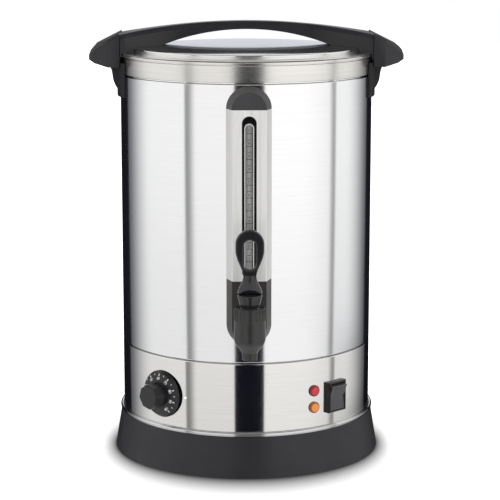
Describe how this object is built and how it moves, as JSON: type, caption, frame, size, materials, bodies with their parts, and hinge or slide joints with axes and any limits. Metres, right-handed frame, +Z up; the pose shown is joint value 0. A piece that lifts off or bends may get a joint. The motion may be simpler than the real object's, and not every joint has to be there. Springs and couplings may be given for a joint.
{
  "type": "hot water urn",
  "caption": "Cylindrical steel hot water urn on a black base, with a twist-off lid and arch handle, side grips, sight gauge, lever tap, dial, rocker switch and lamps.",
  "frame": {"origin": "centre of the base's underside, on the vessel's upright axis, at the surface it stands on", "axes": "+Z up along the vessel; -Y is the front, with the tap and gauge; +X to the right seen from the front"},
  "size_m": [0.322, 0.3227, 0.4489],
  "materials": {
    "brushed_steel": "satin, finely brushed up and down",
    "band_steel": "satin, brushed round",
    "bright_steel": "bright",
    "tank_steel": "satin",
    "lid_steel": "polished",
    "channel_steel": "satin",
    "base_plastic": "satin",
    "handle_plastic": "satin",
    "gauge_plastic": "satin",
    "tap_plastic": "semi-gloss",
    "dial_plastic": "satin",
    "switch_plastic": "semi-gloss",
    "inlet_plastic": "satin",
    "button_red": "gloss",
    "red_glass": "clear red, gloss",
    "amber_glass": "clear amber, gloss",
    "clear_tube": "clear",
    "silicone": "matte",
    "rubber_feet": "matte",
    "fastener_steel": "bright zinc",
    "brass_parts": "bright",
    "copper_parts": "copper, dull",
    "plate_steel": "galvanised",
    "cast_plate": "cast",
    "element_steel": "dark, heat-tinted",
    "elbow_plastic": "satin"
  },
  "bodies": {
    "root": {"amber_lens": "amber_glass", "base_housing": "base_plastic", "base_plate": "plate_steel", "base_plate_screws": "fastener_steel", "bulb_clip": "plate_steel", "capillary_tube": "copper_parts", "element_terminals": "brass_parts", "gauge_cap": "gauge_plastic", "gauge_channel": "channel_steel", "gauge_elbow": "elbow_plastic", "gauge_liner": "gauge_plastic", "handle_screws": "fastener_steel", "heater_plate": "cast_plate", "heating_element": "element_steel", "inlet_pins": "brass_parts", "inlet_screws": "fastener_steel", "lamp_holders": "inlet_plastic", "lower_casing": "band_steel", "lower_shroud": "gauge_plastic", "outer_shell": "brushed_steel", "overheat_cutout": "inlet_plastic", "power_inlet": "inlet_plastic", "red_lens": "red_glass", "rubber_feet": "rubber_feet", "sensor_bulb": "copper_parts", "side_handle_left": "handle_plastic", "side_handle_right": "handle_plastic", "sight_tube": "clear_tube", "switch_housing": "switch_plastic", "tank": "tank_steel", "tap_body": "tap_plastic", "tap_bonnet": "tap_plastic", "tap_nut": "fastener_steel", "tap_washers": "silicone", "terminal_block": "inlet_plastic", "terminal_screws": "fastener_steel", "thermostat_body": "inlet_plastic", "thermostat_screws": "fastener_steel", "top_collar": "band_steel", "trim_ring": "bright_steel", "tube_seals": "silicone"},
    "lid_seal": {"lid_seal": "silicone"},
    "lid": {"lid_pan": "lid_steel", "lid_liner": "tank_steel", "lid_handle": "handle_plastic", "lid_handle_screws": "fastener_steel"},
    "tap_stem": {"tap_stem": "tap_plastic", "seat_cup": "silicone"},
    "tap_lever": {"tap_lever": "tap_plastic", "lever_pin": "fastener_steel"},
    "thermostat_knob": {"dial_knob": "dial_plastic", "thermostat_spindle": "fastener_steel"},
    "switch_rocker": {"switch_rocker": "switch_plastic"},
    "reset_button": {"reset_button": "button_red"}
  },
  "joints": [
    {"name": "lid_lift", "type": "slide", "parent": "root", "child": "lid_seal", "axis": [0, 0, 1], "range_m": [0, 0.08]},
    {"name": "lid_twist", "type": "hinge", "parent": "lid_seal", "child": "lid", "pos_m": [0, 0, 0.4163], "axis": [0, 0, 1], "range_deg": [0, 30]},
    {"name": "tap_lift", "type": "slide", "parent": "root", "child": "tap_stem", "axis": [0, 0, 1], "range_m": [0, 0.0045]},
    {"name": "lever_tip", "type": "hinge", "parent": "tap_stem", "child": "tap_lever", "pos_m": [0, -0.168, 0.201], "axis": [1, 0, 0], "range_deg": [0, 40], "stiffness_Nm_per_rad": 0.25, "springref_deg": -11.46},
    {"name": "thermostat_turn", "type": "hinge", "parent": "root", "child": "thermostat_knob", "pos_m": [-0.08899, -0.09884, 0.0784], "axis": [-0.6691, -0.7431, 0], "range_deg": [-270, 0]},
    {"name": "switch_rock", "type": "hinge", "parent": "root", "child": "switch_rocker", "pos_m": [0.08799, -0.09569, 0.0749], "axis": [0.7361, 0.6769, 0], "range_deg": [-18, 0]},
    {"name": "reset_push", "type": "slide", "parent": "root", "child": "reset_button", "axis": [0, 0, 1], "range_m": [0, 0.0015], "stiffness_N_per_m": 300, "springref_m": -0.0005}
  ],
  "couplings": [
    {"joint": "tap_lift", "follows": "lever_tip", "m_per_rad": 0.006}
  ]
}
